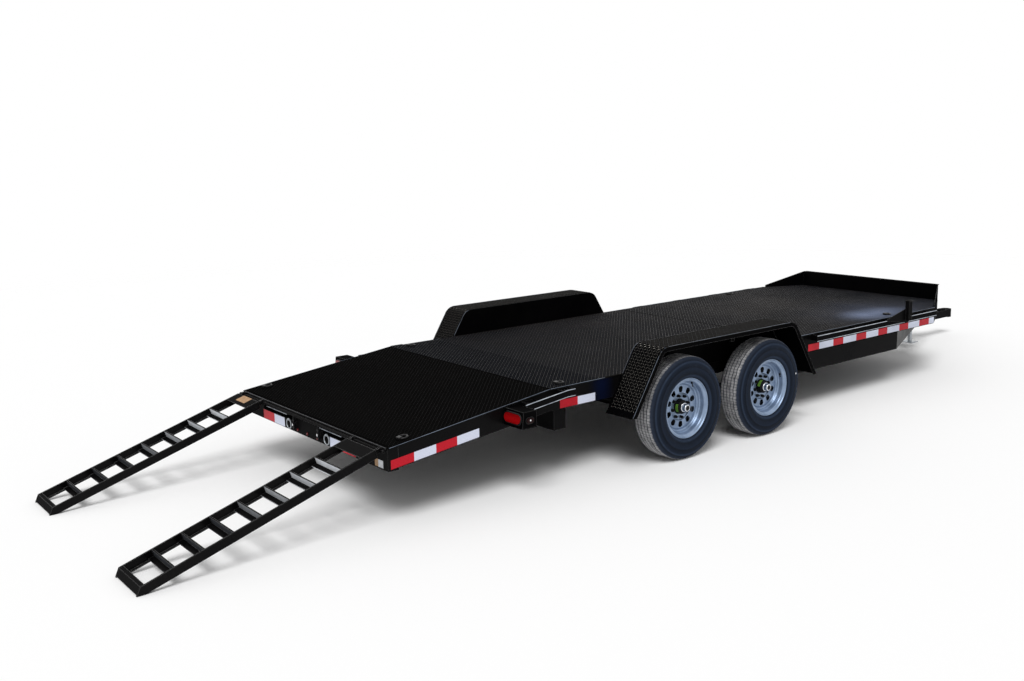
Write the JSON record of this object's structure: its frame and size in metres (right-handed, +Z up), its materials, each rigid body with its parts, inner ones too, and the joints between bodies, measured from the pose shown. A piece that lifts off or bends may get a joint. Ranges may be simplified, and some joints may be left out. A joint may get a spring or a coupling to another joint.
{
  "type": "flatbed car hauler trailer",
  "caption": "Low steel-deck flatbed trailer with sloping tail, hook-on ramps, wheel fenders, stake-pocket side rails, front stop plate, A-frame tongue and jack.",
  "frame": {"origin": "middle of the bounding box on the ground, ramps down and jack standing", "axes": "+X towards the coupler, +Y to the trailer's left, +Z up"},
  "size_m": [9.8384, 2.6, 0.874],
  "materials": {
    "black_paint": "gloss black paint on steel",
    "deck_paint": "black paint on ribbed steel plate that mirrors a pale sky",
    "tyre_rubber": "matt black rubber",
    "silver_paint": "silver wheel paint",
    "red_lens": "clear red lens",
    "bare_steel": "zinc-plated steel"
  },
  "bodies": {
    "chassis": {"main_frame": "black_paint", "rear_sill": "black_paint", "deck_sheet_tail": "deck_paint", "deck_sheet_middle": "deck_paint", "deck_sheet_front": "deck_paint", "bulkhead": "black_paint", "tongue_frame": "black_paint", "coupler": "black_paint", "jack_tube": "black_paint", "jack_handle": "bare_steel", "battery_box": "black_paint", "rub_rail_front_right": "black_paint", "rub_rail_front_left": "black_paint", "rub_rail_rear_right": "black_paint", "rub_rail_rear_left": "black_paint", "spare_post": "black_paint", "fender_right": "black_paint", "fender_left": "black_paint", "light_box_right": "black_paint", "light_box_left": "black_paint", "tail_lamp_right": "red_lens", "tail_lamp_left": "red_lens", "side_marker_right": "red_lens", "side_marker_left": "red_lens", "axle_front": "black_paint", "axle_rear": "black_paint", "suspension_right": "black_paint", "suspension_left": "black_paint", "ramp_latch_right": "bare_steel", "ramp_latch_left": "bare_steel", "d_ring_rear_right": "bare_steel", "d_ring_rear_left": "bare_steel", "d_ring_middle_right": "bare_steel", "d_ring_middle_left": "bare_steel", "d_ring_front_right": "bare_steel", "d_ring_front_left": "bare_steel"},
    "wheel_front_right": {"tyre_front_right": "tyre_rubber", "rim_front_right": "silver_paint"},
    "wheel_front_left": {"tyre_front_left": "tyre_rubber", "rim_front_left": "silver_paint"},
    "wheel_rear_right": {"tyre_rear_right": "tyre_rubber", "rim_rear_right": "silver_paint"},
    "wheel_rear_left": {"tyre_rear_left": "tyre_rubber", "rim_rear_left": "silver_paint"},
    "jack_leg": {"jack_leg": "bare_steel"},
    "ramp_right": {"ramp_right": "black_paint"},
    "ramp_left": {"ramp_left": "black_paint"}
  },
  "joints": [
    {"name": "wheel_front_right_spin", "type": "hinge", "parent": "chassis", "child": "wheel_front_right", "pos_m": [-0.06283, -1.19, 0.382], "axis": [0, 1, 0], "continuous": true},
    {"name": "wheel_front_left_spin", "type": "hinge", "parent": "chassis", "child": "wheel_front_left", "pos_m": [-0.06283, 1.19, 0.382], "axis": [0, 1, 0], "continuous": true},
    {"name": "wheel_rear_right_spin", "type": "hinge", "parent": "chassis", "child": "wheel_rear_right", "pos_m": [-0.99883, -1.19, 0.382], "axis": [0, 1, 0], "continuous": true},
    {"name": "wheel_rear_left_spin", "type": "hinge", "parent": "chassis", "child": "wheel_rear_left", "pos_m": [-0.99883, 1.19, 0.382], "axis": [0, 1, 0], "continuous": true},
    {"name": "ramp_right_hinge", "type": "hinge", "parent": "chassis", "child": "ramp_right", "pos_m": [-3.40783, -0.806, 0.488], "axis": [0, 1, 0], "range_deg": [0, 75]},
    {"name": "ramp_left_hinge", "type": "hinge", "parent": "chassis", "child": "ramp_left", "pos_m": [-3.40783, 0.806, 0.488], "axis": [0, 1, 0], "range_deg": [0, 75]},
    {"name": "jack_slide", "type": "slide", "parent": "chassis", "child": "jack_leg", "axis": [0, 0, 1], "range_m": [0, 0.18]}
  ]
}
